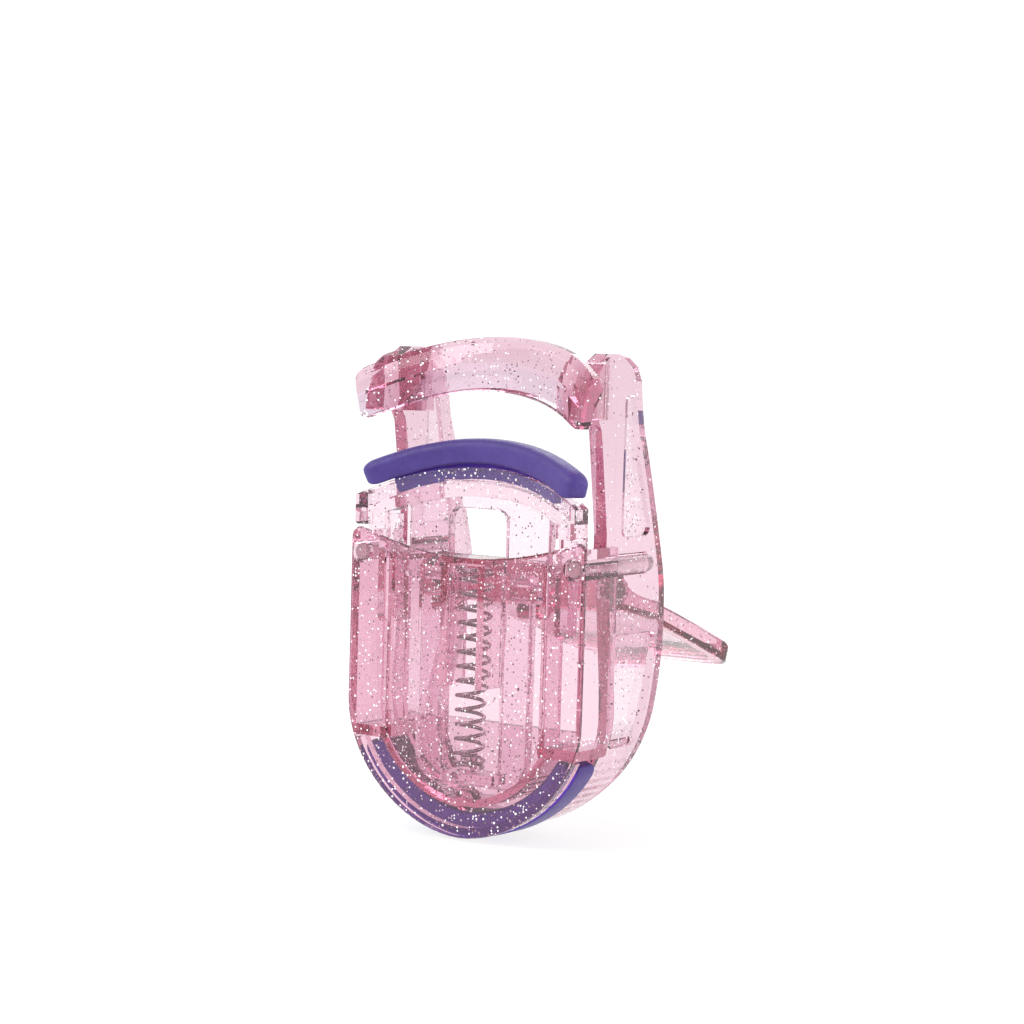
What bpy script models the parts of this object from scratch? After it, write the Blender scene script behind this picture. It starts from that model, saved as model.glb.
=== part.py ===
"""Pocket eyelash curler: a clear frame with a fixed lash arch, a sliding lower jaw and a folding lever.

Outlines and sizes below are in millimetres and become metres when a mesh is made. X is right,
Y runs back from the front face of the cover, and Z is the height above the lowest point of the body.
The root empty then moves the whole model so that its origin is on the cover's flat front panel.
"""

import math

import bmesh
import bpy
from mathutils import Matrix, Vector

MM = 0.001
GAP = 0.3  # clearance between neighbouring pieces
ORIGIN_Z = 20.0  # height of the model's origin, on the front panel of the cover

# Outline of the body, seen from the front: straight sides on a rounded bottom.
BODY_HALF_WIDTH = 18.0
BODY_CURVE_Z = 16.8  # where the sides turn into the rounded bottom
BODY_CURVE_DEPTH = 16.4
BODY_ROUND = 1.85  # exponent of the rounded bottom, 2 is an ellipse

# Front cover.
COVER_PLATE = 1.2
COVER_EDGE = 0.4
WALL_INSET = 0.03  # the side walls stand this little inside the front plate's outline
COVER_WALL = 1.0
COVER_DEPTH = 7.8
COVER_CORNER_Z = 39.3
COVER_DIP = 3.0
PANEL_HALF_WIDTH = 12.4
PANEL_RECESS = 0.35
RIB = 1.0
LIP_WIDTH = 1.3
SHELF_Z = 12.0  # underside of the shelf that closes each side channel
SHELF = 1.4

# Silicone strip around the bottom.
STRIP_THICK = 3.2
STRIP_FRONT = 2.6
STRIP_PROUD = 0.1  # how far it stands out past the cover's outline
STRIP_BACK = 7.2

# Frame.
FRAME_FRONT = 8.1
FRAME_FOOT_HALF_WIDTH = 17.0
FRAME_LEG_HALF_WIDTH = 16.0
FRAME_WALL = 1.9
FRAME_BACK_WALL_Z = 15.2
POCKET_DEPTH = 0.7
ARC_HALF_CHORD = 17.0
ARCH_RISE = 4.3
ARCH_SWEEP = 6.1  # how far the middle of the arch stands behind its ends
ARCH_END_Z = 53.0
ARCH_END_Y = -1.4
ARCH_HALF_LENGTH = 17.7
ARCH_UPRIGHT = 0.55  # share of the end sections' outward lean that is taken back
# The shoulder behind each end of the arch, as (y, z) seen from the side.
SHOULDER_PROFILE = (
    (-0.3, 54.4),
    (12.0, 54.4),
    (12.0, 61.6),
    (7.5, 62.3),
    (4.6, 61.4),
    (2.2, 59.9),
    (-0.3, 58.6),
)

# Lower jaw.
STROKE = 5.6
JAW_HALF_WIDTH = 16.8
JAW_SWEEP = 4.7
JAW_FACE_SWEEP = 3.8
JAW_FACE_Y = 3.0
JAW_PLATE = (2.6, 4.2)
JAW_LEG_X = (4.35, 8.6)
JAW_FOOT_X = (13.2, 16.3)
JAW_FOOT_Z = 37.7
PAD_TOP_END_Z = ARCH_END_Z - STROKE - 0.35
PAD_HEAD_HEIGHT = 3.2
PAD_HEAD_DEPTH = 3.6
PAD_TONGUE = 1.0
PAD_END_Y = 0.3
PAD_HALF_LENGTH = 16.4

# Return spring.
SPRING_X = -0.8
SPRING_Y = 3.8
SPRING_RADIUS = 1.8
SPRING_WIRE = 0.5
SPRING_BOTTOM = 8.95
SPRING_TOP = 35.0
SPRING_TURNS = 15
CHANNEL_HALF_WIDTH = 2.35
CHANNEL_BOTTOM = 19.6

# Lever.
PIVOT = (12.7, 32.6)  # (y, z) of the lever's axis
THROW = math.radians(48)
NOSE_REACH = STROKE / (2 * math.sin(THROW / 2))
NOSE_RADIUS = 1.1
NOSE_NECK = 0.75  # half the thickness of the short arm
HUB_RADIUS = 3.0
HUB_HALF_WIDTH = 13.2
LEVER_HALF_WIDTH = 12.8
LEVER_RIM = 2.2
LEVER_WEB = 1.1
TIP_CORNER = 4.6
TIP_EDGE = 0.7
TIP_SLOPE = math.atan2(4.0, 10.7)  # how steeply the outer half of the lever falls
TIP_TOP = (37.5, 26.2)  # (y, z) of a point on top of the outer half
TIP_UNDER = (37.0, 23.6)
TRUNNION_RADIUS = 1.2

# Cover pins.
PIN_X = 16.3
PIN_Z = 36.0
PIN_RADIUS = 1.15
PIN_FRONT = 0.1
PIN_BACK = 17.6
PIN_EDGE = 0.35


def clear_scene():
    for obj in list(bpy.data.objects):
        bpy.data.objects.remove(obj, do_unlink=True)


def make_collection(name, hidden=False):
    collection = bpy.data.collections.new(name)
    bpy.context.scene.collection.children.link(collection)
    collection.hide_render = hidden
    return collection


clear_scene()
PARTS = make_collection("eyelash_curler")
CUTTERS = make_collection("cutters", hidden=True)
ROOT = bpy.data.objects.new("eyelash_curler_root", None)
PARTS.objects.link(ROOT)


# Helpers


def material(name, colour, roughness, metallic=0.0, transmission=0.0):
    made = bpy.data.materials.new(name)
    made.use_nodes = True
    shader = made.node_tree.nodes["Principled BSDF"]
    shader.inputs["Base Color"].default_value = (*colour, 1.0)
    shader.inputs["Roughness"].default_value = roughness
    shader.inputs["Metallic"].default_value = metallic
    shader.inputs["Transmission Weight"].default_value = transmission
    return made


def tool(name, mesh):
    """A hidden helper solid, in millimetres, for a Boolean."""
    obj = bpy.data.objects.new(name, mesh)
    obj.hide_render = True
    obj.display_type = "WIRE"
    CUTTERS.objects.link(obj)
    return obj


def mesh_of(obj):
    """The object's evaluated mesh in world space, with its seams welded and its faces outward."""
    bpy.context.view_layer.update()
    evaluated = obj.evaluated_get(bpy.context.evaluated_depsgraph_get())
    mesh = bpy.data.meshes.new_from_object(evaluated)
    mesh.transform(obj.matrix_world)
    shape = bmesh.new()
    shape.from_mesh(mesh)
    bmesh.ops.remove_doubles(shape, verts=shape.verts, dist=0.0005)
    open_edges = [edge for edge in shape.edges if edge.is_boundary]
    bmesh.ops.holes_fill(shape, edges=open_edges, sides=6)
    bmesh.ops.recalc_face_normals(shape, faces=shape.faces)
    shape.to_mesh(mesh)
    shape.free()
    return mesh


def add_loop(curve, points):
    spline = curve.splines.new("POLY")
    spline.points.add(len(points) - 1)
    for point, place in zip(spline.points, points):
        point.co = (*place, 0.0, 1.0)
    spline.use_cyclic_u = True


# How a flat outline's own axes (a, b, thickness) stand in the model, by the axis it is extruded along.
STANDING = {
    "X": Matrix(((0, 0, 1, 0), (1, 0, 0, 0), (0, 1, 0, 0), (0, 0, 0, 1))),
    "Y": Matrix(((1, 0, 0, 0), (0, 0, -1, 0), (0, 1, 0, 0), (0, 0, 0, 1))),
    "Z": Matrix.Identity(4),
}


def prism(name, outline, axis, low, high, holes=(), edge=0.0):
    """A flat outline extruded from low to high: (y, z) along X, (x, z) along Y or (x, y) along Z.

    An edge over 0 rounds the rims of both faces by that radius.
    """
    curve = bpy.data.curves.new(name, "CURVE")
    curve.dimensions = "2D"
    curve.fill_mode = "BOTH"
    curve.extrude = (high - low) / 2 - edge
    curve.bevel_depth = edge
    curve.bevel_resolution = 2
    curve.offset = -edge
    for loop in (outline, *holes):
        add_loop(curve, loop)
    guide = bpy.data.objects.new(name, curve)
    CUTTERS.objects.link(guide)
    guide.matrix_world = Matrix.Translation(Vector([c * (low + high) / 2 for c in unit(axis)])) @ STANDING[axis]
    mesh = mesh_of(guide)
    bpy.data.objects.remove(guide, do_unlink=True)
    shape = bmesh.new()
    shape.from_mesh(mesh)
    bmesh.ops.dissolve_degenerate(shape, dist=0.001, edges=shape.edges)
    bmesh.ops.dissolve_limit(shape, angle_limit=math.radians(0.5), verts=shape.verts, edges=shape.edges)
    shape.to_mesh(mesh)
    shape.free()
    return tool(name, mesh)


def unit(axis):
    return [float(axis == letter) for letter in "XYZ"]


def box(name, x, y, z):
    """A box between the two values of each pair."""
    shape = bmesh.new()
    bmesh.ops.create_cube(shape, size=1.0)
    for vert in shape.verts:
        for axis, (low, high) in enumerate((x, y, z)):
            vert.co[axis] = low + (vert.co[axis] + 0.5) * (high - low)
    mesh = bpy.data.meshes.new(name)
    shape.to_mesh(mesh)
    shape.free()
    return tool(name, mesh)


def rod(name, axis, radius, low, high, centre, sides=28):
    """A cylinder along an axis; centre gives the other two coordinates in order."""
    shape = bmesh.new()
    bmesh.ops.create_cone(
        shape, cap_ends=True, segments=sides, radius1=radius, radius2=radius, depth=high - low
    )
    mesh = bpy.data.meshes.new(name)
    shape.to_mesh(mesh)
    shape.free()
    middle = list(centre)
    middle.insert("XYZ".index(axis), (low + high) / 2)
    mesh.transform(Matrix.Translation(Vector(middle)) @ STANDING[axis])
    return tool(name, mesh)


def boolean(obj, operation, tools):
    for other in tools:
        modifier = obj.modifiers.new(other.name, "BOOLEAN")
        modifier.operation = operation
        modifier.object = other
    return obj


def join(obj, *tools):
    return boolean(obj, "UNION", tools)


def cut(obj, *tools):
    return boolean(obj, "DIFFERENCE", tools)


def common(obj, *tools):
    return boolean(obj, "INTERSECT", tools)


def both_sides(make):
    """Makes a helper for the left and the right side; make takes the side, -1 or 1."""
    return [make(-1), make(1)]


def piece(name, solid, look, origin=(0.0, 0.0, 0.0), smooth_angle=32):
    """Turns a finished helper, in millimetres, into a named part in metres with its own origin."""
    mesh = mesh_of(solid)
    mesh.name = name
    mesh.transform(Matrix.Scale(MM, 4) @ Matrix.Translation(-Vector(origin)))
    mesh.materials.clear()
    mesh.materials.append(look)
    mesh.shade_smooth()
    mesh.set_sharp_from_angle(angle=math.radians(smooth_angle))
    obj = bpy.data.objects.new(name, mesh)
    PARTS.objects.link(obj)
    obj.parent = ROOT
    obj.location = Vector(origin) * MM
    return obj


def drop(x, half_chord, rise):
    """How far a circular arc of that half chord and rise has fallen below its crown at x."""
    radius = (half_chord**2 + rise**2) / (2 * rise)
    return radius - math.sqrt(radius**2 - min(abs(x), radius) ** 2)


def arc_points(centre, radius, start, end, steps):
    """Points on an arc, angles in degrees."""
    found = []
    for i in range(steps + 1):
        turn = math.radians(start + (end - start) * i / steps)
        found.append((centre[0] + radius * math.cos(turn), centre[1] + radius * math.sin(turn)))
    return found


def rounded(corners, steps=5):
    """A closed outline from (a, b, radius) corners, each turned into an arc."""
    found = []
    count = len(corners)
    for i, (a, b, radius) in enumerate(corners):
        here = Vector((a, b))
        back = (Vector(corners[i - 1][:2]) - here).normalized()
        ahead = (Vector(corners[(i + 1) % count][:2]) - here).normalized()
        if radius == 0:
            found.append((a, b))
            continue
        half = back.angle(ahead) / 2
        middle = here + (back + ahead).normalized() * radius / math.sin(half)
        first = here + back * radius / math.tan(half) - middle
        last = here + ahead * radius / math.tan(half) - middle
        turn = first.angle_signed(last)
        for k in range(steps + 1):
            spoke = Matrix.Rotation(-turn * k / steps, 2) @ first
            found.append(tuple(middle + spoke))
    return found


def smooth_line(points, steps=4):
    """An open line of arcs-like pieces through all the points (Catmull-Rom)."""
    places = [Vector(p) for p in points]
    padded = [2 * places[0] - places[1], *places, 2 * places[-1] - places[-2]]
    found = []
    for i in range(1, len(padded) - 2):
        before, start, end, after = padded[i - 1 : i + 3]
        for k in range(steps):
            t = k / steps
            found.append(
                tuple(
                    0.5
                    * (
                        2 * start
                        + (end - before) * t
                        + (2 * before - 5 * start + 4 * end - after) * t**2
                        + (3 * start - before - 3 * end + after) * t**3
                    )
                )
            )
    found.append(tuple(places[-1]))
    return found


def bottom_curve(half_width, depth, z_limit=BODY_CURVE_Z, steps=36):
    """The rounded bottom as (x, z), left to right, below z_limit."""
    found = []
    for i in range(steps + 1):
        turn = math.pi * i / steps
        across = math.cos(turn)
        x = -half_width * math.copysign(abs(across) ** (2 / BODY_ROUND), across)
        z = BODY_CURVE_Z - depth * max(math.sin(turn), 0.0) ** (2 / BODY_ROUND)
        if z <= z_limit:
            found.append((x, z))
    return found


def bottom_band(inset_out, inset_in, z_limit):
    """A band of the rounded bottom between two insets from the body outline, cut off at z_limit."""
    outer = bottom_curve(BODY_HALF_WIDTH - inset_out, BODY_CURVE_DEPTH - inset_out, z_limit)
    inner = bottom_curve(BODY_HALF_WIDTH - inset_in, BODY_CURVE_DEPTH - inset_in, z_limit)
    return outer + inner[::-1]


def swept_bar(name, path, section, end_length, end_scale):
    """A closed section swept along a path, growing from end_scale to full size at both ends."""
    profile = bpy.data.curves.new(name + "_section", "CURVE")
    profile.dimensions = "2D"
    add_loop(profile, section)
    profile_guide = bpy.data.objects.new(name + "_section", profile)
    CUTTERS.objects.link(profile_guide)
    curve = bpy.data.curves.new(name, "CURVE")
    curve.dimensions = "3D"
    curve.twist_mode = "Z_UP"
    curve.bevel_mode = "OBJECT"
    curve.bevel_object = profile_guide
    curve.use_fill_caps = True
    spline = curve.splines.new("POLY")
    spline.points.add(len(path) - 1)
    for point, place in zip(spline.points, path):
        to_end = min((Vector(place) - Vector(end)).length for end in (path[0], path[-1]))
        inside = max(0.0, 1.0 - to_end / end_length)
        point.co = (*place, 1.0)
        point.radius = end_scale + (1 - end_scale) * math.sqrt(1 - inside**2)
    guide = bpy.data.objects.new(name, curve)
    CUTTERS.objects.link(guide)
    mesh = mesh_of(guide)
    bpy.data.objects.remove(guide, do_unlink=True)
    bpy.data.objects.remove(profile_guide, do_unlink=True)
    return tool(name, mesh)


def bar_stations(half_width, count, end_length):
    """X values across a bar, closer together over its rounded ends."""
    inner = half_width - end_length
    ends = [half_width - end_length * (1 - math.cos(math.radians(a))) for a in (0, 30, 55, 75)]
    middle = [inner * (1 - 2 * i / count) for i in range(count + 1)]
    right = ends + middle
    return sorted(set(right + [-x for x in ends]))


# Front cover


def cover_outline():
    """The cover seen from the front: rounded bottom, straight sides, a top edge that dips."""
    top = []
    for i in range(17):
        x = 16.6 - 33.2 * i / 16
        top.append((x, COVER_CORNER_Z - COVER_DIP + drop(x, 16.6, COVER_DIP)))
    right_corner = arc_points((16.6, COVER_CORNER_Z - 1.4), 1.4, 0, 80, 5)
    left_corner = [(-x, z) for x, z in right_corner[::-1]]
    return bottom_curve(BODY_HALF_WIDTH, BODY_CURVE_DEPTH) + right_corner + top[1:-1] + left_corner


def side_channel(side):
    """The cover's side wall, its inner rib and the shelf that closes them at the bottom."""
    outer_x = BODY_HALF_WIDTH - WALL_INSET
    edge = [(x, z) for x, z in bottom_curve(outer_x, BODY_CURVE_DEPTH - WALL_INSET) if x > 0 and z > SHELF_Z]
    start = (17.0, SHELF_Z)
    inner_x = BODY_HALF_WIDTH - COVER_WALL
    outline = [start, *edge, (outer_x, COVER_CORNER_Z - 0.7)]
    outline += [(inner_x, COVER_CORNER_Z - 0.7), (inner_x, SHELF_Z + SHELF)]
    outline += [(PANEL_HALF_WIDTH, SHELF_Z + SHELF), (PANEL_HALF_WIDTH - RIB, SHELF_Z + SHELF)]
    outline += [(PANEL_HALF_WIDTH - RIB, SHELF_Z)]
    return prism("side_wall", [(side * x, z) for x, z in outline], "Y", COVER_EDGE + 0.1, COVER_DEPTH)


def bottom_lip():
    """The rim of the rounded bottom, which stands in front of the silicone strip."""
    band = bottom_band(2 * WALL_INSET, LIP_WIDTH, SHELF_Z + 0.6)
    return prism("bottom_lip", band, "Y", COVER_EDGE + 0.1, STRIP_FRONT - GAP)


def inner_rib(side):
    x = sorted((side * PANEL_HALF_WIDTH, side * (PANEL_HALF_WIDTH - RIB)))
    return box("inner_rib", x, (0.9, 4.8), (SHELF_Z + 0.5, 36.2))


def spring_channel():
    """Two ribs and a roof on the inside of the cover that hold the upper end of the spring."""
    left = SPRING_X - CHANNEL_HALF_WIDTH
    right = SPRING_X + CHANNEL_HALF_WIDTH
    back = SPRING_Y + 2.0
    roof = (SPRING_TOP + GAP, COVER_CORNER_Z - COVER_DIP - 0.05)
    return [
        box("channel_left", (left - RIB, left), (0.9, back), (CHANNEL_BOTTOM, roof[1])),
        box("channel_right", (right, right + RIB), (0.9, back), (CHANNEL_BOTTOM, roof[1])),
        box("channel_roof", (left - 0.5, right + 0.5), (0.8, back - 0.05), roof),
    ]


def panel_recess():
    """The flat middle of the front face lies a little lower than its rim."""
    inset = BODY_HALF_WIDTH - PANEL_HALF_WIDTH - 0.1
    curve = bottom_curve(BODY_HALF_WIDTH - inset, BODY_CURVE_DEPTH - inset + 0.6)
    outline = curve + [(curve[-1][0], 41.0), (curve[0][0], 41.0)]
    return prism("panel_recess", outline, "Y", -1.0, PANEL_RECESS)


def pin_bore(side, radius=PIN_RADIUS + GAP):
    return rod("pin_bore", "Y", radius, -1.0, PIN_BACK + 0.35, (side * PIN_X, PIN_Z))


def make_front_cover(look):
    cover = prism("cover_plate", cover_outline(), "Y", 0.0, COVER_PLATE, edge=COVER_EDGE)
    rib = prism("strip_rib", bottom_band(3.9, 4.9, SHELF_Z + 0.6), "Y", 0.9, 6.8)
    lug = rod("gate_lug", "Y", 1.4, 0.9, 3.0, (0.4, 5.3))
    join(cover, *both_sides(side_channel), bottom_lip(), rib, *both_sides(inner_rib), *spring_channel(), lug)
    cut(cover, panel_recess(), *both_sides(pin_bore))
    return piece("front_cover", cover, look)


def make_pin(side, name, look):
    outline = arc_points((side * PIN_X, PIN_Z), PIN_RADIUS, 0, 345, 23)
    pin = prism("pin", outline, "Y", PIN_FRONT, PIN_BACK, edge=PIN_EDGE)
    return piece(name, pin, look)


# Silicone strip


def make_strip(look):
    band = bottom_band(-STRIP_PROUD, STRIP_THICK, SHELF_Z - GAP)
    strip = prism("strip", band, "Y", STRIP_FRONT, STRIP_BACK, edge=0.45)
    return piece("bottom_strip", strip, look)


# Frame


def leg_half_width(z):
    """The frame's half width narrows smoothly from the foot to the upper legs."""
    t = min(max((z - BODY_CURVE_Z) / 19.0, 0.0), 1.0)
    return FRAME_FOOT_HALF_WIDTH + (FRAME_LEG_HALF_WIDTH - FRAME_FOOT_HALF_WIDTH) * t * t * (3 - 2 * t)


def frame_front_view():
    """The frame's wall seen from the front: a U of constant thickness, open at the top."""
    heights = [BODY_CURVE_Z + 19.0 * i / 8 for i in range(1, 9)] + [66.0]
    outer = bottom_curve(FRAME_FOOT_HALF_WIDTH, BODY_CURVE_DEPTH - 0.2)
    outer += [(leg_half_width(z), z) for z in heights]
    inner = bottom_curve(FRAME_FOOT_HALF_WIDTH - FRAME_WALL, BODY_CURVE_DEPTH - 0.2 - FRAME_WALL)
    inner += [(leg_half_width(z) - FRAME_WALL, z) for z in heights]
    outer = [(-x, z) for x, z in outer[:-10:-1]] + outer
    inner = [(-x, z) for x, z in inner[:-10:-1]] + inner
    return outer + inner[::-1]


# The back edge of the side walls as (y, z), from the top corner down to the foot.
BACK_EDGE = (
    (15.3, 59.2),
    (16.2, 53.7),
    (17.8, 49.2),
    (19.5, 44.0),
    (21.1, 38.7),
    (22.2, 34.5),
    (22.4, 30.9),
    (21.6, 25.0),
    (19.9, 19.0),
    (18.2, 14.0),
    (16.8, 9.0),
    (14.8, 4.5),
    (12.4, -1.0),
)


def frame_side_view():
    """The frame's wall seen from the side."""
    front = [(7.5, -1.0), (7.5, SHELF_Z - 0.6), (FRAME_FRONT, SHELF_Z - 0.3), (FRAME_FRONT, 40.0)]
    front += [(7.6, 43.5), (6.6, 50.0), (6.1, 53.0), (5.0, 54.8), (4.2, 56.0), (4.2, 59.9), (5.2, 61.7)]
    top = [(7.0, 62.6), (9.6, 62.6), (12.2, 62.1), (14.2, 61.0)]
    return front + top + smooth_line(BACK_EDGE, steps=3)


def pocket(side, name, corners):
    """A shallow pocket in the outside of a side wall."""
    outer = side * 20.0
    depth = [side * (leg_half_width(corners[0][1]) - POCKET_DEPTH), outer]
    return prism(name, rounded(corners, steps=4), "X", min(depth), max(depth))


def upper_pocket(side):
    corners = [(12.0, 57.4, 0.7), (12.0, 39.4, 1.0), (19.0, 39.4, 1.2), (15.7, 49.0, 0), (13.9, 57.4, 0.7)]
    return pocket(side, "upper_pocket", corners[::-1])


def lower_pocket(side):
    corners = [(9.6, 27.0, 1.2), (9.6, 12.6, 1.2), (15.9, 12.6, 1.6), (20.3, 27.0, 1.0)]
    return pocket(side, "lower_pocket", corners)


def arch_front_y(x):
    return ARCH_END_Y + ARCH_SWEEP - drop(x, ARC_HALF_CHORD, ARCH_SWEEP)


def arch_low_z(x):
    return ARCH_END_Z + ARCH_RISE - drop(x, ARC_HALF_CHORD, ARCH_RISE)


# The arch's section as (back, up) from its lower front edge.
ARCH_SECTION = (
    (0.1, 0.25),
    (0.7, 3.3),
    (1.2, 3.7),
    (1.6, 4.9),
    (2.5, 6.2),
    (3.6, 6.95),
    (4.6, 6.9),
    (5.2, 6.2),
    (4.6, 4.9),
    (3.2, 3.2),
    (2.2, 0.3),
    (1.9, 0.0),
    (0.4, 0.0),
)
ARCH_SECTION_MIDDLE = (2.2, 3.4)


def make_arch():
    back, up = ARCH_SECTION_MIDDLE
    section = [(-(a - back), b - up) for a, b in ARCH_SECTION]
    path = [(x, arch_front_y(x) + back, arch_low_z(x) + up) for x in bar_stations(ARCH_HALF_LENGTH, 24, 1.8)]
    arch = swept_bar("arch", path, section, 1.8, 0.72)
    circle = (ARC_HALF_CHORD**2 + ARCH_RISE**2) / (2 * ARCH_RISE)
    for vert in arch.data.vertices:
        height = vert.co.z - arch_low_z(vert.co.x) - up
        vert.co.x -= ARCH_UPRIGHT * height * vert.co.x / circle
    return arch


def arch_corner(side):
    """Thick shoulder that carries each end of the arch round into the top of a leg."""
    outline = [(10.6, 5.7), (13.5, 3.5), (15.9, 0.9), (17.0, 0.6), (17.4, 2.6), (16.9, 5.2), (15.95, 7.6)]
    outline += [(15.95, 11.0), (14.3, 11.0), (13.4, 8.7), (11.0, 7.9)]
    plan = prism("arch_corner", [(side * x, y) for x, y in outline], "Z", 50.0, 66.0)
    x = sorted((side * 10.4, side * 17.45))
    return common(plan, prism("arch_corner_profile", SHOULDER_PROFILE, "X", *x, edge=0.6))


def make_frame(look):
    frame = prism("frame_wall", frame_front_view(), "Y", 3.0, 25.0)
    side = prism("frame_side", frame_side_view(), "X", -20.0, 20.0)
    common(frame, side)
    wall_half = FRAME_FOOT_HALF_WIDTH - 1.0
    curve = bottom_curve(wall_half, BODY_CURVE_DEPTH - 1.2)
    back_wall = prism("back_wall", [p for p in curve if p[1] < FRAME_BACK_WALL_Z], "Y", FRAME_FRONT + 0.2, 9.5)
    join(frame, make_arch(), *both_sides(arch_corner), back_wall)
    cut(frame, *both_sides(upper_pocket), *both_sides(lower_pocket), *both_sides(pin_bore))
    hole = TRUNNION_RADIUS + GAP
    cut(frame, rod("trunnion_hole", "X", hole, -15.3, 15.3, PIVOT))
    return piece("frame", frame, look)


# Lower jaw


def jaw_middle_y(x):
    return PAD_END_Y + JAW_SWEEP - drop(x, ARC_HALF_CHORD, JAW_SWEEP)


def pad_low_z(x):
    """Underside of the pad's head."""
    return PAD_TOP_END_Z - PAD_HEAD_HEIGHT + ARCH_RISE - drop(x, ARC_HALF_CHORD, ARCH_RISE)


def across(half_width, count):
    return [half_width * (2 * i / count - 1) for i in range(count + 1)]


def jaw_head():
    """The curved holder: a crescent seen from above, an arched band with end posts from the front."""
    xs = across(JAW_HALF_WIDTH, 24)
    front = [(x, JAW_FACE_Y - drop(x, JAW_HALF_WIDTH, JAW_FACE_SWEEP)) for x in xs]
    back = [(x, jaw_middle_y(x) + 1.9) for x in xs]
    crescent = prism("jaw_crescent", front + back[::-1], "Z", 36.0, 52.0)
    top = [(x, pad_low_z(x) - 0.5) for x in xs]
    under = [(x, pad_low_z(x) - 4.2) for x in across(13.2, 18)]
    foot = COVER_CORNER_Z + GAP + 0.05
    posts_left = [(-JAW_HALF_WIDTH, foot + 0.3), (-JAW_HALF_WIDTH + 0.3, foot), (-13.2, foot)]
    posts_right = [(13.2, foot), (JAW_HALF_WIDTH - 0.3, foot), (JAW_HALF_WIDTH, foot + 0.3)]
    band = prism("jaw_band", posts_left + under + posts_right + top[::-1], "Y", -2.0, 12.0)
    return common(crescent, band)


def jaw_foot(side):
    """The end post carried on down behind the cover's top edge."""
    x = sorted((side * JAW_FOOT_X[0], side * JAW_FOOT_X[1]))
    corners = [(x[0], JAW_FOOT_Z, 0.4), (x[1], JAW_FOOT_Z, 0.4), (x[1], 41.6, 0), (x[0], 41.6, 0)]
    return prism("jaw_foot", rounded(corners, steps=3), "Y", COVER_PLATE + GAP, 3.2)


def jaw_groove():
    """The slot that takes the pad's tongue."""
    xs = across(15.6, 20)
    half = PAD_TONGUE / 2 + 0.3
    front = [(x, jaw_middle_y(x) - half) for x in xs]
    back = [(x, jaw_middle_y(x) + half) for x in xs]
    slot = prism("groove_plan", front + back[::-1], "Z", 38.0, 54.0)
    floor = [(x, pad_low_z(x) - 2.5) for x in across(18.0, 20)]
    above = prism("groove_above", floor + [(18.0, 55.0), (-18.0, 55.0)], "Y", -4.0, 14.0)
    return common(slot, above)


def jaw_plate_outline():
    outer = JAW_LEG_X[1]
    corners = [(-11.0, 46.0, 0), (-11.0, 33.0, 1.0), (-outer, 33.0, 0.8), (-outer, 6.9, 3.8)]
    corners += [(outer, 6.9, 3.8), (outer, 33.0, 0.8), (11.0, 33.0, 1.0), (11.0, 46.0, 0)]
    return rounded(corners, steps=5)


def jaw_window():
    inner = JAW_LEG_X[0]
    corners = [(-inner, 8.6, 0.8), (inner, 8.6, 0.8), (inner, 42.5, 1.6), (-inner, 42.5, 1.6)]
    return rounded(corners, steps=5)


def jaw_rod(side):
    x = sorted((side * 12.75, side * 14.65))
    corners = [(x[0], 27.0, 0.9), (x[1], 27.0, 0.9), (x[1], 41.0, 0), (x[0], 41.0, 0)]
    return prism("jaw_rod", rounded(corners, steps=4), "Y", 2.1, 4.3)


LUG_UNDERSIDE = PIVOT[1] - NOSE_REACH * math.sin(THROW / 2) + NOSE_RADIUS + GAP


def jaw_lug(side):
    """The step on the back of each jaw leg that the lever's nose lifts."""
    x = sorted((side * 4.9, side * 8.4))
    outline = rounded([(3.6, LUG_UNDERSIDE, 0), (6.9, LUG_UNDERSIDE, 0.5), (6.9, 33.0, 1.0), (3.6, 35.0, 0)], 3)
    return prism("jaw_lug", outline, "X", *x)


def make_jaw(look):
    jaw = prism("jaw_plate", jaw_plate_outline(), "Y", *JAW_PLATE, holes=[jaw_window()], edge=0.2)
    seat = box("spring_seat", (-3.9, 4.0), (1.8, 5.8), (7.3, 8.6))
    guide = rod("spring_guide", "Z", 1.1, 8.0, 11.0, (SPRING_X, SPRING_Y), sides=20)
    join(jaw, jaw_head(), *both_sides(jaw_foot), *both_sides(jaw_rod), *both_sides(jaw_lug), seat, guide)
    cut(jaw, jaw_groove())
    return piece("lower_jaw", jaw, look)


def bar_section(half_width, low, high, edge, top_edge):
    """A rounded bar section as (back, up), wound for a sweep along +X."""
    corners = [(half_width, low, edge), (-half_width, low, edge)]
    corners += [(-half_width, high, top_edge), (half_width, high, top_edge)]
    return rounded(corners, steps=3)


def make_pad(look):
    middle = PAD_HEAD_HEIGHT / 2
    head = bar_section(PAD_HEAD_DEPTH / 2, -middle, middle, 0.5, 1.35)
    path = [(x, jaw_middle_y(x), pad_low_z(x) + middle) for x in bar_stations(PAD_HALF_LENGTH, 20, 1.5)]
    pad = swept_bar("pad", path, head, 1.5, 0.55)
    tongue = bar_section(PAD_TONGUE / 2, -middle - 2.1, -middle + 0.6, 0.2, 0.2)
    tongue_path = [place for place in path if abs(place[0]) < 13.6]
    join(pad, swept_bar("pad_tongue", tongue_path, tongue, 0.1, 1.0))
    return piece("jaw_pad", pad, look)


# Return spring


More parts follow.
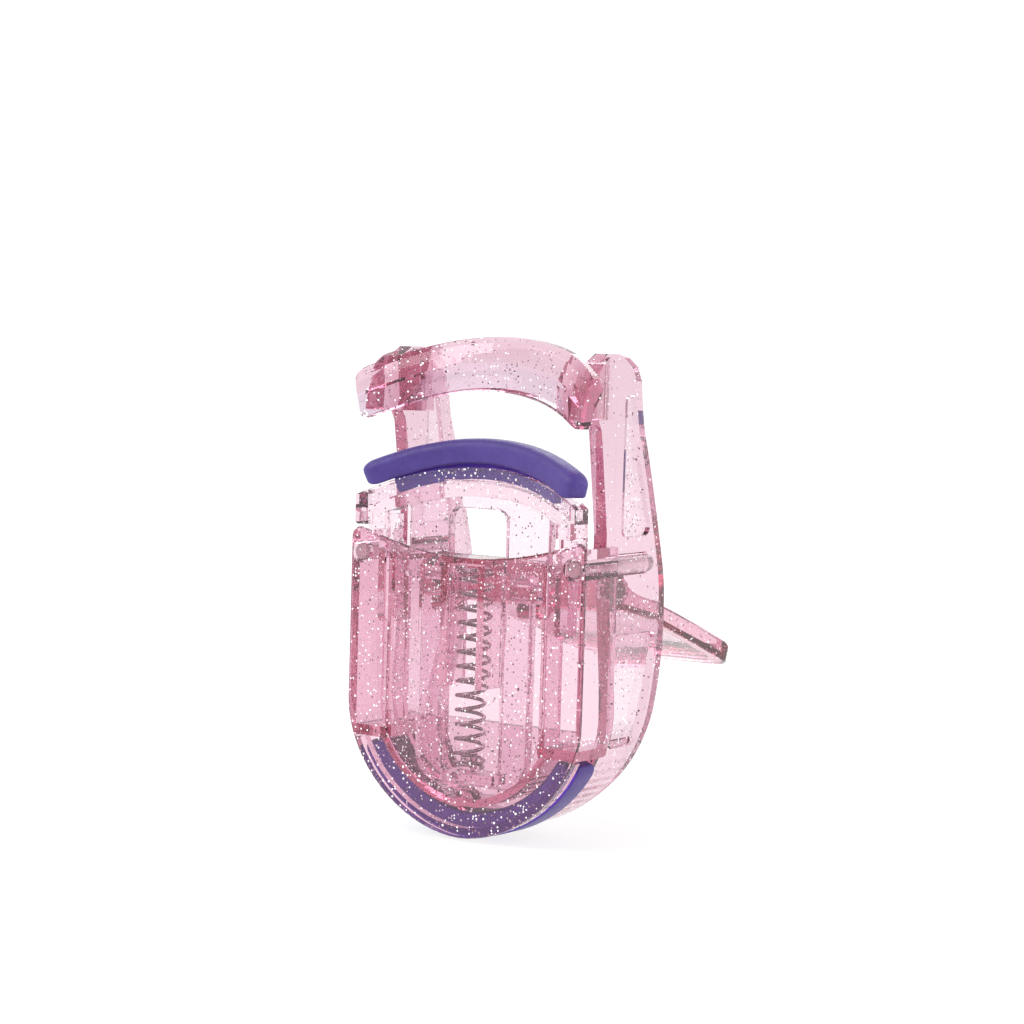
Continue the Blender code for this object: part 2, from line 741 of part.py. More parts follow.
def make_spring(look):
    turns = SPRING_TURNS
    per_turn = 12
    low = SPRING_BOTTOM + SPRING_WIRE / 2
    high = SPRING_TOP - SPRING_WIRE / 2
    curve = bpy.data.curves.new("return_spring", "CURVE")
    curve.dimensions = "3D"
    curve.bevel_depth = SPRING_WIRE / 2
    curve.bevel_resolution = 1
    curve.use_fill_caps = True
    spline = curve.splines.new("POLY")
    count = turns * per_turn + 1
    spline.points.add(count - 1)
    closed_turn = SPRING_WIRE + 0.12
    for i, point in enumerate(spline.points):
        turn = i / per_turn
        open_height = high - low - 2 * closed_turn
        if turn < 1:
            z = low + closed_turn * turn
        elif turn > turns - 1:
            z = high - closed_turn * (turns - turn)
        else:
            z = low + closed_turn + open_height * (turn - 1) / (turns - 2)
        angle = 2 * math.pi * turn
        x = SPRING_X + SPRING_RADIUS * math.cos(angle)
        y = SPRING_Y + SPRING_RADIUS * math.sin(angle)
        point.co = (x, y, z, 1.0)
    guide = bpy.data.objects.new("return_spring", curve)
    CUTTERS.objects.link(guide)
    coil = tool("coil", mesh_of(guide))
    bpy.data.objects.remove(guide, do_unlink=True)
    return piece("return_spring", coil, look, smooth_angle=80)


# Lever


def lever_side_view():
    y, z = PIVOT
    top = smooth_line([(y - 0.4, z + 2.6), (15.8, 33.8), (19.8, 31.5), (27.9, 29.5), (37.5, 26.2), (48.2, 22.2)])
    tip = arc_points((47.8, 20.95), 1.3, 62, -100, 6)
    under = smooth_line([(37.0, 23.6), (27.4, 26.9), (20.0, 28.7), (y + 1.0, z - 2.7)])
    return top[:-1] + tip + under


def lever_plan():
    """The lever seen square to its outer half; y counts along that slope from TIP_TOP."""
    half = LEVER_HALF_WIDTH + 0.2
    end = 12.8
    corner = arc_points((half - TIP_CORNER, end - 0.5 - TIP_CORNER), TIP_CORNER, 0, 80, 8)
    crown = [(x, end - drop(x, 10.0, 0.5)) for x in (7.0, 4.8, 2.4, 0.0, -2.4, -4.8, -7.0)]
    left = [(-x, y) for x, y in corner[::-1]]
    return [(half, -34.0), *corner, *crown, *left, (-half, -34.0)]


def lever_form(name, low, high, start):
    """The lever's plan with rounded rims, tilted to the slope of its outer half."""
    form = prism(name, lever_plan(), "Z", low, high, edge=TIP_EDGE)
    tilt = Matrix.Rotation(-TIP_SLOPE, 4, "X")
    form.data.transform(Matrix.Translation(Vector((0.0, *start))) @ tilt)
    return form


def lever_under_rim():
    """What the rounded lower rim of the lever's end takes away."""
    spare = box("under_rim", (-20.0, 20.0), (36.5, 54.0), (8.0, 34.0))
    return cut(spare, lever_form("lever_low_form", -0.02, 30.0, TIP_UNDER))


def lever_recess():
    """The hollow between the side rims that leaves the thin web."""
    half = LEVER_HALF_WIDTH - LEVER_RIM
    plan = rounded([(-half, 17.5, 1.0), (half, 17.5, 1.0), (half, 47.3, 3.2), (-half, 47.3, 3.2)])
    hollow = prism("recess_plan", plan, "Z", 10.0, 40.0)
    web_under = smooth_line([(49.5, 19.3), (37.0, 23.6), (27.4, 26.9), (20.0, 28.7), (15.0, 29.7)])
    web_top = [(a, b + LEVER_WEB) for a, b in web_under]
    above = prism("recess_above", web_top + [(15.0, 42.0), (49.5, 42.0)], "X", -20.0, 20.0)
    return common(hollow, above)


def lever_nose(side):
    """The short arm in front of the hub that lifts the jaw."""
    tip = arc_points((-NOSE_REACH, 0.0), NOSE_RADIUS, 45, 315, 9)
    level = [(0.0, NOSE_NECK), *tip, (0.0, -NOSE_NECK)]
    turn = Matrix.Rotation(THROW / 2, 2)
    outline = [tuple(turn @ Vector(p) + Vector(PIVOT)) for p in level]
    x = sorted((side * 5.2, side * 8.1))
    return prism("lever_nose", outline, "X", *x)


def make_lever(look):
    half = LEVER_HALF_WIDTH
    lever = prism("lever_blade", lever_side_view(), "X", -half, half, edge=0.4)
    common(lever, lever_form("lever_top_form", -30.0, 0.02, TIP_TOP))
    cut(lever, lever_under_rim())
    hub = rod("hub", "X", HUB_RADIUS, -HUB_HALF_WIDTH, HUB_HALF_WIDTH, PIVOT, sides=36)
    trunnion = rod("trunnion", "X", TRUNNION_RADIUS, -15.0, 15.0, PIVOT)
    join(lever, hub, trunnion, *both_sides(lever_nose))
    cut(lever, lever_recess())
    return piece("lever", lever, look, origin=(0.0, *PIVOT))


def main():
    pink = material("clear_pink_glitter", (0.87, 0.45, 0.55), 0.08, transmission=0.9)
    lilac = material("violet_silicone", (0.10, 0.05, 0.33), 0.55)
    steel = material("spring_steel", (0.62, 0.60, 0.60), 0.25, metallic=1.0)
    make_frame(pink)
    make_front_cover(pink)
    make_pin(-1, "cover_pin_left", pink)
    make_pin(1, "cover_pin_right", pink)
    make_strip(lilac)
    make_jaw(pink)
    make_pad(lilac)
    make_spring(steel)
    make_lever(pink)
    for helper in list(CUTTERS.objects):
        bpy.data.objects.remove(helper, do_unlink=True)
    ROOT.location = (0.0, -PANEL_RECESS * MM, -ORIGIN_Z * MM)


main()
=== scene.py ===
"""Clear glitter eyelash curler: materials, soft parts, spring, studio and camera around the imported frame."""

import math

import bmesh
import bpy
from mathutils import Matrix, Vector, noise


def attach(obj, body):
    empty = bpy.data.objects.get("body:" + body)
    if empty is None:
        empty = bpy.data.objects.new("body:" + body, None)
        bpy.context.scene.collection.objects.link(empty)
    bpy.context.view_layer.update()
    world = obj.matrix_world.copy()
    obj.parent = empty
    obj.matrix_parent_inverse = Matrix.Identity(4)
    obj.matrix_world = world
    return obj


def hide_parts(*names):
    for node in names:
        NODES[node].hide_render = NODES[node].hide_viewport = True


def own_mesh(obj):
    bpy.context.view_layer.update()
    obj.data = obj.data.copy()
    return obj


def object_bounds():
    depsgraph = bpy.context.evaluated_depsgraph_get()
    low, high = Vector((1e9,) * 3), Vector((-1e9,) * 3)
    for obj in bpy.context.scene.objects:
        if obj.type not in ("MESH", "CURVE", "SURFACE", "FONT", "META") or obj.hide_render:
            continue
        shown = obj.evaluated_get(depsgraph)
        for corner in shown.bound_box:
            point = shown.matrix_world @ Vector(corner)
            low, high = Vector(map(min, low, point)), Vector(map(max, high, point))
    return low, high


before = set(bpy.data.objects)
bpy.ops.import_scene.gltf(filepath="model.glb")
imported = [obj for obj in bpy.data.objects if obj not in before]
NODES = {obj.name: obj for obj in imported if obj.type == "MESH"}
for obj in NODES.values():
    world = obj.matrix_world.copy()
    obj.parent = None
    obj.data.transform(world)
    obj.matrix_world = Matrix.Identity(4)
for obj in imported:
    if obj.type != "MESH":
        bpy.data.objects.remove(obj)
CAD_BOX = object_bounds()

MM = 0.001
# The CAD frame's origin in the design's own millimetres: (y, z) of the flat front panel.
ORIGIN_Y = 0.35
ORIGIN_Z = 20.0


def place(x, y, z):
    """A point of the design, in its own millimetres, as a point of the frame in metres."""
    return Vector((x, y - ORIGIN_Y, z - ORIGIN_Z)) * MM


# Node helpers


class Tree:
    """A short way to write a material's nodes."""

    def __init__(self, name):
        self.material = bpy.data.materials.new(name)
        self.material.use_nodes = True
        self.tree = self.material.node_tree
        self.shader = self.tree.nodes["Principled BSDF"]
        self.output = self.tree.nodes["Material Output"]
        self.place = self.node("ShaderNodeTexCoord").outputs["Object"]

    def node(self, kind, **settings):
        made = self.tree.nodes.new(kind)
        for key, value in settings.items():
            setattr(made, key, value)
        return made

    def link(self, source, target):
        if hasattr(source, "is_output"):
            self.tree.links.new(source, target)
        else:
            target.default_value = source

    def math(self, operation, a, b=0.0, c=0.0, clamp=False):
        made = self.node("ShaderNodeMath", operation=operation, use_clamp=clamp)
        for value, socket in zip((a, b, c), made.inputs):
            self.link(value, socket)
        return made.outputs[0]

    def vector(self, operation, a, b=None, scale=None):
        made = self.node("ShaderNodeVectorMath", operation=operation)
        self.link(a, made.inputs[0])
        if b is not None:
            self.link(b, made.inputs[1])
        if scale is not None:
            self.link(scale, made.inputs["Scale"])
        return made.outputs[0]

    def mix(self, share, a, b):
        """Colour a where share is 0 and b where it is 1."""
        made = self.node("ShaderNodeMix", data_type="RGBA")
        self.link(share, made.inputs[0])
        for value, socket in ((a, made.inputs[6]), (b, made.inputs[7])):
            self.link(value if hasattr(value, "is_output") else (*value, 1.0), socket)
        return made.outputs[2]

    def ramp(self, value, low, high, to_low=0.0, to_high=1.0):
        made = self.node("ShaderNodeMapRange")
        for number, socket in zip((value, low, high, to_low, to_high), made.inputs):
            self.link(number, socket)
        return made.outputs[0]

    def axes(self):
        """The x, y and z of the piece's own coordinates."""
        parts = self.node("ShaderNodeSeparateXYZ")
        self.link(self.place, parts.inputs[0])
        return parts.outputs

    def noise(self, scale, detail=2.0, roughness=0.5, stretch=None):
        made = self.node("ShaderNodeTexNoise")
        made.inputs["Scale"].default_value = scale
        made.inputs["Detail"].default_value = detail
        made.inputs["Roughness"].default_value = roughness
        where = self.place
        if stretch:
            turn = self.node("ShaderNodeMapping")
            turn.inputs["Scale"].default_value = stretch
            self.link(where, turn.inputs["Vector"])
            where = turn.outputs[0]
        self.link(where, made.inputs["Vector"])
        return made.outputs["Fac"]

    def flecks(self, scale, size, share):
        """(mask, random colour) of tiny flakes: one to a cell, in that share of the cells."""
        cells = self.node("ShaderNodeTexVoronoi")
        cells.inputs["Scale"].default_value = scale
        self.link(self.place, cells.inputs["Vector"])
        parts = self.node("ShaderNodeSeparateColor")
        self.link(cells.outputs["Color"], parts.inputs[0])
        near = self.math("LESS_THAN", cells.outputs["Distance"], size)
        chosen = self.math("LESS_THAN", parts.outputs[0], share)
        return self.math("MULTIPLY", near, chosen), parts, cells.outputs["Color"]

    def bump(self, height, strength, distance):
        made = self.node("ShaderNodeBump")
        made.inputs["Strength"].default_value = strength
        made.inputs["Distance"].default_value = distance
        self.link(height, made.inputs["Height"])
        return made.outputs[0]


# Materials


def painted_reflection_band(t):
    """1 on the upright lower band of the lash arch, which is painted cooler than the rounded bar above it as a
    painted reflection of the violet pad.
    """
    x, y, z = t.axes()
    square = t.math("MULTIPLY", x, x)
    height = t.math("ADD", t.math("SUBTRACT", z, ARCH_CROWN_Z), t.math("MULTIPLY", square, ARCH_BEND))
    above_legs = t.math("GREATER_THAN", z, ARCH_BAND_LOW_Z)
    back = t.math("SUBTRACT", ARCH_BACK_Y, t.math("MULTIPLY", square, ARCH_BACK_BEND))
    on_arch = t.math("MULTIPLY", above_legs, t.math("LESS_THAN", y, back))
    return t.math("MULTIPLY", t.ramp(height, ARCH_BAND_HEIGHT, ARCH_BAND_HEIGHT * 0.8), on_arch)


def glitter_plastic(name, tint, thick_tint, density, painted_shade_share=0.35, clear=0.97, haze=0.03, band=False):
    """Clear moulded plastic with silver flakes: pale painted-lit ones that also glow faintly as a painted
    glint, and dark painted-shaded ones, as they would look when tilted.
    """
    t = Tree(name)
    small, small_parts, small_tilt = t.flecks(2100.0, 0.25, 0.30)
    large, large_parts, large_tilt = t.flecks(1250.0, 0.19, 0.26)
    mask = t.math("MAXIMUM", small, large)
    tilt = t.mix(large, small_tilt, large_tilt)
    # Painted light and shade: each flake is painted lit (near white) or shaded (dark mauve) to stand for how
    # its tilt catches the light; the shaded share is set per piece.
    flake_painted_lit = t.math("GREATER_THAN", small_parts.outputs[1], painted_shade_share)
    flake_painted_light = t.mix(flake_painted_lit, (0.40, 0.24, 0.30), (1.0, 0.98, 0.99))
    cloud = t.ramp(t.noise(220.0, 3.0), 0.3, 0.7)
    body = t.mix(cloud, tint, [c * 0.985 for c in tint])
    # Painted reflection: the arch's lower band is tinted towards the violet pad's cooler colour.
    if band:
        body = t.mix(painted_reflection_band(t), body, ARCH_BAND_PAINTED_REFLECTION)
    t.link(t.mix(mask, body, flake_painted_light), t.shader.inputs["Base Color"])
    # Painted glint: the painted-lit flakes also glow with emission strength 0.45.
    painted_glint = t.math("MULTIPLY", mask, flake_painted_lit)
    t.link(t.mix(painted_glint, (0.0, 0.0, 0.0), (1.0, 0.97, 0.98)), t.shader.inputs["Emission Color"])
    t.shader.inputs["Emission Strength"].default_value = 0.45
    t.link(t.math("MULTIPLY", t.math("SUBTRACT", 1.0, mask), clear), t.shader.inputs["Transmission Weight"])
    scuffs = t.ramp(t.noise(900.0, 4.0, 0.6, stretch=(1.0, 0.35, 0.2)), 0.56, 0.74, haze, haze + 0.09)
    t.link(t.math("MAXIMUM", scuffs, t.math("MULTIPLY", mask, 0.3)), t.shader.inputs["Roughness"])
    t.shader.inputs["IOR"].default_value = 1.49
    lean = t.vector("SCALE", t.vector("SUBTRACT", tilt, (0.5, 0.5, 0.5)), scale=t.math("MULTIPLY", mask, 1.0))
    facet = t.vector("ADD", t.node("ShaderNodeNewGeometry").outputs["Normal"], lean)
    flow = t.bump(t.noise(90.0, 2.0), 0.12, 0.0006)
    t.link(t.vector("NORMALIZE", facet), flow.node.inputs["Normal"])
    t.link(flow, t.shader.inputs["Normal"])
    depth = t.node("ShaderNodeVolumeAbsorption")
    depth.inputs["Color"].default_value = (*thick_tint, 1.0)
    depth.inputs["Density"].default_value = density
    t.link(depth.outputs[0], t.output.inputs["Volume"])
    return t.material


def silicone(name, colour, light, back=None):
    """Soft matt silicone with a fine bloom, dust specks and a slight moulding texture.

    With a back colour, the piece is painted darker towards it behind its front face, as painted shade.
    """
    t = Tree(name)
    bloom = t.ramp(t.noise(260.0, 4.0, 0.6), 0.35, 0.75)
    specks = t.ramp(t.noise(5200.0, 2.0), 0.66, 0.74)
    base = t.mix(bloom, colour, light)
    if back:
        # Painted shade: behind the front face the colour falls to the darker back colour.
        base = t.mix(t.ramp(t.axes()[1], *STRIP_SHADE_Y), base, back)
    t.link(t.mix(t.math("MULTIPLY", specks, 0.35), base, [min(1.0, 2.2 * c + 0.05) for c in light]),
           t.shader.inputs["Base Color"])
    t.link(t.ramp(t.noise(1800.0, 3.0), 0.3, 0.7, 0.40, 0.58), t.shader.inputs["Roughness"])
    t.shader.inputs["Subsurface Weight"].default_value = 0.15
    t.shader.inputs["Subsurface Radius"].default_value = (0.0004, 0.0003, 0.0012)
    t.shader.inputs["Sheen Weight"].default_value = 0.12
    t.link(t.bump(t.noise(3200.0, 3.0), 0.25, 0.00012), t.shader.inputs["Normal"])
    return t.material


def spring_steel(name):
    """Bright drawn wire: faint lines along it and a little tarnish."""
    t = Tree(name)
    tarnish = t.ramp(t.noise(700.0, 4.0), 0.35, 0.7)
    t.link(t.mix(tarnish, (0.46, 0.44, 0.44), (0.30, 0.27, 0.27)), t.shader.inputs["Base Color"])
    t.shader.inputs["Metallic"].default_value = 1.0
    t.link(t.ramp(t.noise(2600.0, 3.0), 0.3, 0.7, 0.14, 0.32), t.shader.inputs["Roughness"])
    t.link(t.bump(t.noise(6000.0, 2.0), 0.15, 0.00004), t.shader.inputs["Normal"])
    return t.material


# The lash arch on the frame, in metres of the frame's own coordinates.
ARCH_BEND = 14.0
ARCH_BACK_Y = 0.0095
ARCH_BACK_BEND = 26.0
ARCH_CROWN_Z = 0.0373
ARCH_BAND_LOW_Z = 0.0325
ARCH_BAND_HEIGHT = 0.0036
# The painted reflection of the violet pad on the arch's lower band.
ARCH_BAND_PAINTED_REFLECTION = (0.87, 0.84, 0.92)

PINK = glitter_plastic("glitter_plastic", (0.945, 0.77, 0.85), (0.74, 0.15, 0.35), 175.0, 0.15)
FRAME_PINK = glitter_plastic(
    "glitter_plastic_frame", (0.945, 0.835, 0.895), (0.70, 0.15, 0.35), 180.0, 0.45, band=True
)
LEVER_PINK = glitter_plastic("glitter_plastic_lever", (0.94, 0.76, 0.84), (0.74, 0.16, 0.34), 220.0)
PALE = glitter_plastic("glitter_plastic_pale", (0.98, 0.90, 0.95), (0.84, 0.34, 0.52), 90.0)
CLEAR = glitter_plastic("glitter_plastic_pin", (0.97, 0.80, 0.87), (0.88, 0.40, 0.55), 120.0, 0.30, 0.80, 0.25)
VIOLET = silicone("violet_silicone_pad", (0.060, 0.028, 0.235), (0.085, 0.045, 0.300))
# Where the strip's painted shade begins and is full, in metres along y.
STRIP_SHADE_Y = (0.00232, 0.00262)
# The strip's last colour is its painted shade behind the front face.
VIOLET_STRIP = silicone(
    "violet_silicone_strip", (0.110, 0.012, 0.560), (0.150, 0.030, 0.660), (0.040, 0.010, 0.190)
)
VIOLET_TONGUE = silicone("violet_silicone_tongue", (0.085, 0.015, 0.460), (0.115, 0.030, 0.560))
STEEL = spring_steel("drawn_spring_wire")

for node_name, look in (
    ("frame", FRAME_PINK),
    ("front_cover", PINK),
    ("cover_pin_left", CLEAR),
    ("cover_pin_right", CLEAR),
    ("lower_jaw", PALE),
    ("lever", LEVER_PINK),
):
    NODES[node_name].data.materials.clear()
    NODES[node_name].data.materials.append(look)


# Mesh helpers


def drop(x, half_chord, rise):
    """How far a circular arc of that half chord and rise has fallen below its crown at x."""
    radius = (half_chord**2 + rise**2) / (2 * rise)
    return radius - math.sqrt(radius**2 - x**2)


def round_section(half_width, low, high, low_edge, high_edge, steps=5):
    """A closed section (across, up) with rounded corners, anticlockwise from its lower right."""
    found = []
    corners = (
        (half_width - low_edge, low + low_edge, low_edge, -90),
        (half_width - high_edge, high - high_edge, high_edge, 0),
        (-half_width + high_edge, high - high_edge, high_edge, 90),
        (-half_width + low_edge, low + low_edge, low_edge, 180),
    )
    for a, b, radius, start in corners:
        for k in range(steps + 1):
            turn = math.radians(start + 90 * k / steps)
            found.append((a + radius * math.cos(turn), b + radius * math.sin(turn)))
    return found


def loft(name, rings, look, smooth_angle=60):
    """A closed skin over rings of points, with both ends filled."""
    shape = bmesh.new()
    loops = [[shape.verts.new(point) for point in ring] for ring in rings]
    for before, after in zip(loops, loops[1:]):
        for k in range(len(before)):
            j = (k + 1) % len(before)
            shape.faces.new((before[k], before[j], after[j], after[k]))
    for loop in (loops[0], loops[-1]):
        middle = shape.verts.new(sum((v.co for v in loop), Vector()) / len(loop))
        for k, vert in enumerate(loop):
            shape.faces.new((vert, loop[(k + 1) % len(loop)], middle))
    bmesh.ops.recalc_face_normals(shape, faces=shape.faces)
    mesh = bpy.data.meshes.new(name)
    shape.to_mesh(mesh)
    shape.free()
    mesh.materials.append(look)
    mesh.shade_smooth()
    mesh.set_sharp_from_angle(angle=math.radians(smooth_angle))
    made = bpy.data.objects.new(name, mesh)
    bpy.context.scene.collection.objects.link(made)
    return made


def end_scales(length, reach, least):
    """(distance from the middle, section scale) of the stations of a bar with rounded ends."""
    inner = length - reach
    stations = [(inner * k / 22, 1.0) for k in range(23)]
    for k in range(1, 8):
        turn = math.radians(90 * k / 7)
        stations.append((inner + reach * math.sin(turn), least + (1 - least) * math.cos(turn)))
    return [(-a, s) for a, s in stations[:0:-1]] + stations


# The lower jaw's pad: a crowned silicone bar with a tongue that sits in the jaw's groove.
PAD_HALF_LENGTH = 16.35
PAD_HALF_DEPTH = 1.78
PAD_HALF_HEIGHT = 1.58
ARC_HALF_CHORD = 17.0
PAD_RISE = 4.3
PAD_SWEEP = 4.7
PAD_END_Y = 0.3
PAD_UNDER_END_Z = 43.85


def pad_centre(x):
    y = PAD_END_Y + PAD_SWEEP - drop(x, ARC_HALF_CHORD, PAD_SWEEP)
    z = PAD_UNDER_END_Z + 1.6 + PAD_RISE - drop(x, ARC_HALF_CHORD, PAD_RISE)
    return Vector((x, y, z))


def bar_rings(section, stations, centre, wobble):
    """Rings of a section swept along a centre line, square to it in plan and upright."""
    rings = []
    for a, scale in stations:
        here = centre(a)
        along = (centre(a + 0.01) - centre(a - 0.01)).normalized()
        up = (Vector((0, 0, 1)) - along * along.z).normalized()
        side = up.cross(along)
        ring = []
        for across, height in section:
            point = here + side * across * scale + up * height * scale
            grain = wobble * noise.noise(point * 0.35)
            ring.append(place(*(point + up * grain)))
        rings.append(ring)
    return rings


def make_pad():
    section = round_section(PAD_HALF_DEPTH, -PAD_HALF_HEIGHT, PAD_HALF_HEIGHT, 0.45, 1.32)
    # A moulded parting line runs along both sides at the middle of its height.
    section = [(a * (0.985 if abs(b) < 0.3 else 1.0), b) for a, b in section]
    rings = bar_rings(section, end_scales(PAD_HALF_LENGTH, 1.5, 0.45), pad_centre, 0.03)
    head = loft("silicone_pad", rings, VIOLET)
    tongue_section = round_section(0.49, -3.6, -1.2, 0.15, 0.15, steps=3)
    tongue = bar_rings(tongue_section, end_scales(13.4, 0.3, 0.8), pad_centre, 0.0)
    root = loft("silicone_pad_tongue", tongue, VIOLET_TONGUE)
    root.parent = head
    return head, root


# The strip around the bottom.
BODY_HALF_WIDTH = 18.0
BODY_CURVE_Z = 16.8
BODY_CURVE_DEPTH = 16.4
BODY_ROUND = 1.85
STRIP_TOP_Z = 11.65


def bottom_point(turn, inset):
    """A point (x, z) on the rounded bottom, that far inside the body's outline."""
    power = 2 / BODY_ROUND
    across = math.cos(turn)
    x = -(BODY_HALF_WIDTH - inset) * math.copysign(abs(across) ** power, across)
    return x, BODY_CURVE_Z - (BODY_CURVE_DEPTH - inset) * max(math.sin(turn), 0.0) ** power


def make_strip():
    """A rounded band bent round the bottom, between the cover's plate and the frame's foot."""
    out, into = -0.08, 3.18
    y_low, y_high = 2.62, 7.18
    middle_in = (out + into) / 2
    turns = [math.pi * k / 400 for k in range(401)]
    inside = [t for t in turns if bottom_point(t, middle_in)[1] < STRIP_TOP_Z - 0.2]
    first, last = inside[0], inside[-1]
    rings = []
    count = 64
    end_steps = 6
    share = [0.5 * 0.035 * (1 - math.cos(math.pi * k / (2 * end_steps))) * 2 for k in range(end_steps)]
    shares = share + [0.035 + 0.93 * k / count for k in range(count + 1)] + [1 - s for s in share[::-1]]
    for s in shares:
        to_end = min(s, 1 - s) / 0.035
        scale = 1.0 if to_end >= 1 else 0.62 + 0.38 * math.sqrt(1 - (1 - to_end) ** 2)
        turn = first + (last - first) * s
        outer = Vector(bottom_point(turn, out))
        inner = Vector(bottom_point(turn, into))
        centre = (outer + inner) / 2
        half = (outer - inner).length / 2
        ahead = (outer - inner).normalized()
        section = round_section((y_high - y_low) / 2, -half, half, 0.5, 0.5)
        ring = []
        for across, height in section:
            flat = centre + ahead * height * scale
            z = min(flat.y, STRIP_TOP_Z)
            ring.append(place(flat.x, (y_low + y_high) / 2 + across * scale, z))
        rings.append(ring)
    return loft("silicone_strip", rings, VIOLET_STRIP)


# The return spring: a wire coil with a closed turn at each end.
SPRING_CENTRE = (-0.8, 3.8)
SPRING_RADIUS = 1.8
SPRING_WIRE_RADIUS = 0.25
SPRING_LOW = 8.95
SPRING_HIGH = 35.0
SPRING_TURNS = 15
SPRING_CLOSED_RISE = 0.62


def make_spring():
    per_turn = 40
    wire_sides = 10
    low = SPRING_LOW + SPRING_WIRE_RADIUS
    high = SPRING_HIGH - SPRING_WIRE_RADIUS

    def centre(turn):
        if turn < 1:
            z = low + SPRING_CLOSED_RISE * turn
        elif turn > SPRING_TURNS - 1:
            z = high - SPRING_CLOSED_RISE * (SPRING_TURNS - turn)
        else:
            share = (turn - 1) / (SPRING_TURNS - 2)
            z = low + SPRING_CLOSED_RISE + (high - low - 2 * SPRING_CLOSED_RISE) * share
        angle = 2 * math.pi * turn
        x = SPRING_CENTRE[0] + SPRING_RADIUS * math.cos(angle)
        return Vector((x, SPRING_CENTRE[1] + SPRING_RADIUS * math.sin(angle), z))

    rings = []
    for k in range(SPRING_TURNS * per_turn + 1):
        turn = k / per_turn
        here = centre(turn)
        along = (centre(turn + 0.002) - centre(turn - 0.002)).normalized()
        out = Vector((here.x - SPRING_CENTRE[0], here.y - SPRING_CENTRE[1], 0)).normalized()
        up = along.cross(out)
        ring = []
        for j in range(wire_sides):
            a = 2 * math.pi * j / wire_sides
            ring.append(place(*(here + (out * math.cos(a) + up * math.sin(a)) * SPRING_WIRE_RADIUS)))
        rings.append(ring)
    return loft("spring_coil", rings, STEEL)


pad, pad_tongue = make_pad()
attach(pad, "jaw")
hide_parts("jaw_pad")

strip = make_strip()
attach(strip, "body")
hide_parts("bottom_strip")

coil = make_spring()
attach(coil, "body")
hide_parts("return_spring")
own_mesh(coil)


# The camera: its direction, its distance and where its aim falls in the picture.
AZIMUTH = 34.0
ELEVATION = 5.68
ROLL = 1.71
DISTANCE = 0.3686
FOCAL_SHARE = 2859.6 / 1024
AIM_SHARE = (13.15 / 1024, 83.92 / 1024)
AIM = place(0.0, 8.0, 31.0)


# Studio


def make_backdrop():
    """A round white sweep: a flat floor that curves up into a wall all the way round."""
    profile = [(0.0, 0.0), (0.3, 0.0), (0.9, 0.0)]
    for k in range(1, 13):
        turn = math.radians(90 * k / 12)
        profile.append((0.9 + 0.5 * math.sin(turn), 0.5 * (1 - math.cos(turn))))
    profile.append((1.4, 1.5))
    sides = 96
    base = CAD_BOX[0][2] - 0.0002
    shape = bmesh.new()
    rings = []
    for radius, height in profile[1:]:
        ring = []
        for k in range(sides):
            a = 2 * math.pi * k / sides
            ring.append(shape.verts.new((radius * math.cos(a), radius * math.sin(a), base + height)))
        rings.append(ring)
    middle = shape.verts.new((0.0, 0.0, base))
    for k in range(sides):
        j = (k + 1) % sides
        shape.faces.new((middle, rings[0][k], rings[0][j]))
        for before, after in zip(rings, rings[1:]):
            shape.faces.new((before[k], after[k], after[j], before[j]))
    mesh = bpy.data.meshes.new("backdrop")
    shape.to_mesh(mesh)
    shape.free()
    mesh.shade_smooth()
    t = Tree("backdrop_paper")
    t.shader.inputs["Base Color"].default_value = (0.28, 0.28, 0.28, 1.0)
    t.shader.inputs["Roughness"].default_value = 1.0
    t.shader.inputs["Specular IOR Level"].default_value = 0.0
    t.shader.inputs["Emission Color"].default_value = (1.0, 1.0, 1.0, 1.0)
    # The sweep glows a little less on the camera's side, so that clear edges have something to show against.
    a = math.radians(AZIMUTH)
    across = t.node("ShaderNodeVectorMath", operation="DOT_PRODUCT")
    t.link(t.place, across.inputs[0])
    across.inputs[1].default_value = (-math.sin(a), math.cos(a), 0.0)
    t.link(t.ramp(across.outputs["Value"], -1.0, 0.1, 0.48, 0.82), t.shader.inputs["Emission Strength"])
    mesh.materials.append(t.material)
    made = bpy.data.objects.new("backdrop", mesh)
    bpy.context.scene.collection.objects.link(made)


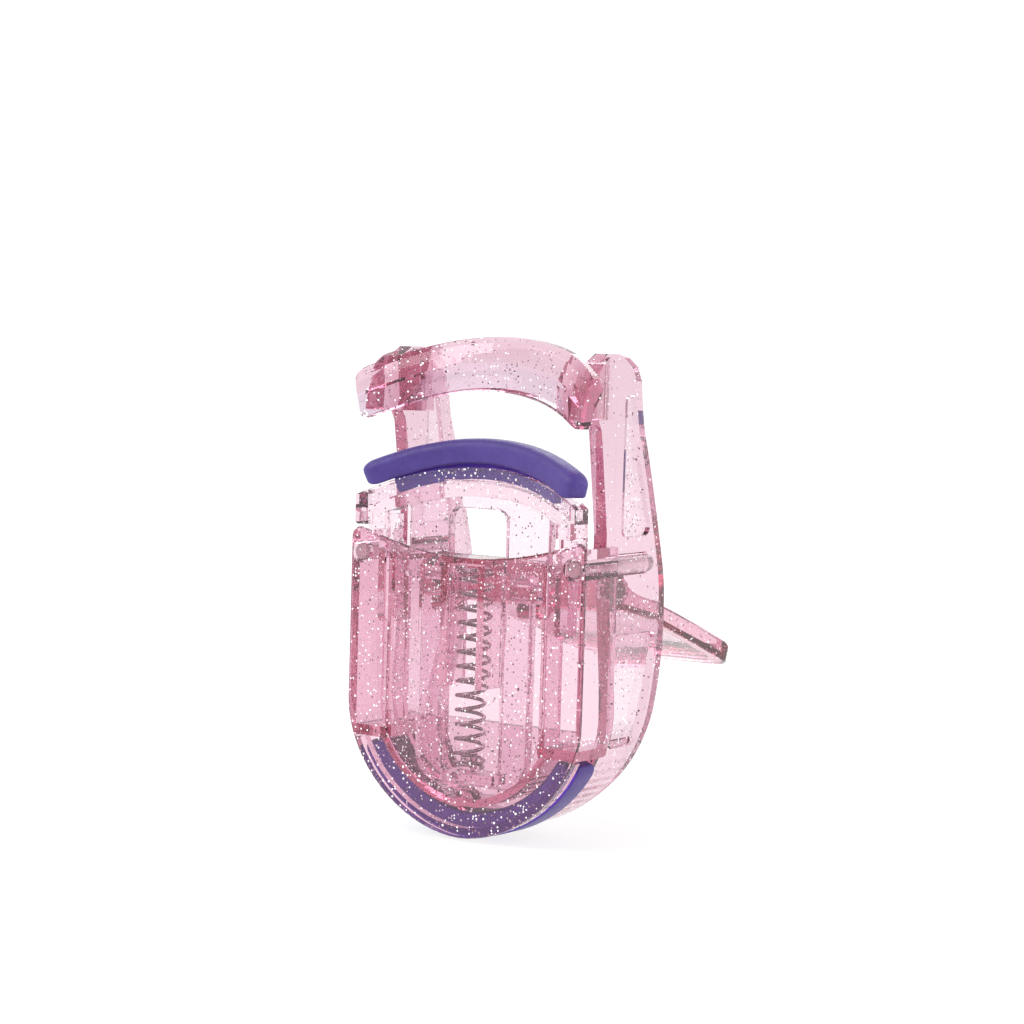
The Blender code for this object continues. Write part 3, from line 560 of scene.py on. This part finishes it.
def softbox(name, azimuth, elevation, distance, size, power, target):
    light = bpy.data.lights.new(name, "AREA")
    light.shape = "RECTANGLE"
    light.size, light.size_y = size
    light.energy = power
    made = bpy.data.objects.new(name, light)
    bpy.context.scene.collection.objects.link(made)
    a, e = math.radians(azimuth), math.radians(elevation)
    way = Vector((math.sin(a) * math.cos(e), -math.cos(a) * math.cos(e), math.sin(e)))
    made.location = target + way * distance
    made.rotation_euler = way.to_track_quat("Z", "Y").to_euler()


def make_camera():
    a, e, r = (math.radians(v) for v in (AZIMUTH, ELEVATION, ROLL))
    ahead = Vector((-math.sin(a) * math.cos(e), math.cos(a) * math.cos(e), -math.sin(e)))
    level = Vector((math.cos(a), math.sin(a), 0.0))
    upright = level.cross(ahead)
    right = level * math.cos(r) + upright * math.sin(r)
    up = upright * math.cos(r) - level * math.sin(r)
    lens = bpy.data.cameras.new("camera")
    lens.sensor_width = 36.0
    lens.lens = 36.0 * FOCAL_SHARE
    lens.shift_x, lens.shift_y = AIM_SHARE
    lens.clip_start = 0.01
    made = bpy.data.objects.new("camera", lens)
    bpy.context.scene.collection.objects.link(made)
    turned = Matrix((right, up, -ahead)).transposed().to_4x4()
    made.matrix_world = Matrix.Translation(AIM - ahead * DISTANCE) @ turned
    bpy.context.scene.camera = made


def make_world():
    world = bpy.data.worlds.new("studio")
    bpy.context.scene.world = world
    world.use_nodes = True
    sky = world.node_tree.nodes["Background"]
    sky.inputs["Color"].default_value = (1.0, 1.0, 1.0, 1.0)
    sky.inputs["Strength"].default_value = 0.45


make_backdrop()
make_world()
softbox("key", -30.0, 50.0, 0.8, (0.5, 0.5), 2.6, AIM)
softbox("side", 105.0, 25.0, 0.7, (0.25, 0.6), 1.4, AIM)
softbox("back", 200.0, 40.0, 0.8, (0.5, 0.4), 1.6, AIM)
make_camera()
settings = bpy.context.scene
settings.view_settings.view_transform = "Standard"
settings.cycles.max_bounces = 28
settings.cycles.transmission_bounces = 28
settings.cycles.glossy_bounces = 6
settings.cycles.diffuse_bounces = 4
